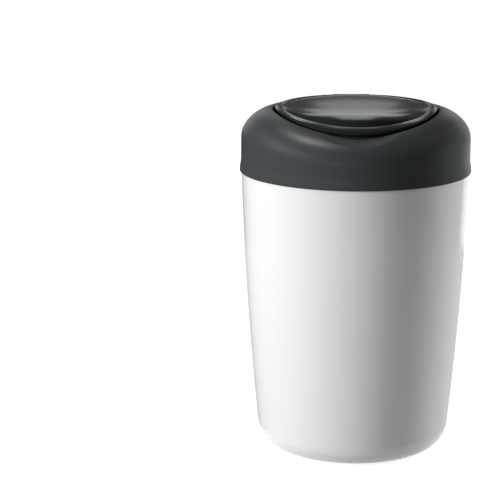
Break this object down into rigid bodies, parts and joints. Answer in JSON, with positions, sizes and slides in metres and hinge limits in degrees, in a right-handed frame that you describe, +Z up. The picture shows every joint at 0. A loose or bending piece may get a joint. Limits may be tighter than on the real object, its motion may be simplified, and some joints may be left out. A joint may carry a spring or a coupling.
{
  "type": "nappy bin",
  "caption": "Round nappy bin: tapered white bucket, lift-off grey hood with film cassette and neck, domed hinged lid that dips to a finger scoop.",
  "frame": {"origin": "centre of the base, on the surface that the bin stands on", "axes": "+Z up; the front with the finger scoop faces -Y, the lid's hinge is at +Y; +X is to the right seen from the front"},
  "size_m": [0.255, 0.255, 0.3917],
  "materials": {
    "bucket_plastic": "white, semi-gloss",
    "hood_plastic": "dark slate grey, satin",
    "lid_plastic": "dark slate grey, semi-gloss",
    "inner_plastic": "dark grey, fine-textured",
    "cutter_plastic": "mid grey",
    "seal_rubber": "soft grey",
    "cassette_plastic": "white, matt",
    "cap_plastic": "pale blue-grey, matt",
    "film": "thin, slightly milky film",
    "steel": "plain"
  },
  "bodies": {
    "bucket": {"bucket": "bucket_plastic"},
    "head": {"hood": "hood_plastic", "cassette_cradle": "inner_plastic", "cradle_screws": "steel", "hinge_pin": "steel", "cassette_body": "cassette_plastic", "cassette_cap": "cap_plastic", "film_pack": "film", "film_sleeve": "film"},
    "lid": {"lid_shell": "lid_plastic", "lid_liner": "inner_plastic", "outer_seal": "seal_rubber", "inner_seal": "seal_rubber", "cutter_housing": "cutter_plastic", "cutter_blade": "steel"}
  },
  "joints": [
    {"name": "hood_lift", "type": "slide", "parent": "bucket", "child": "head", "axis": [0, 0, 1], "range_m": [0, 0.175]},
    {"name": "lid_hinge", "type": "hinge", "parent": "head", "child": "lid", "pos_m": [0, 0.095, 0.37956], "axis": [-1, 0, 0], "range_deg": [0, 100]}
  ]
}
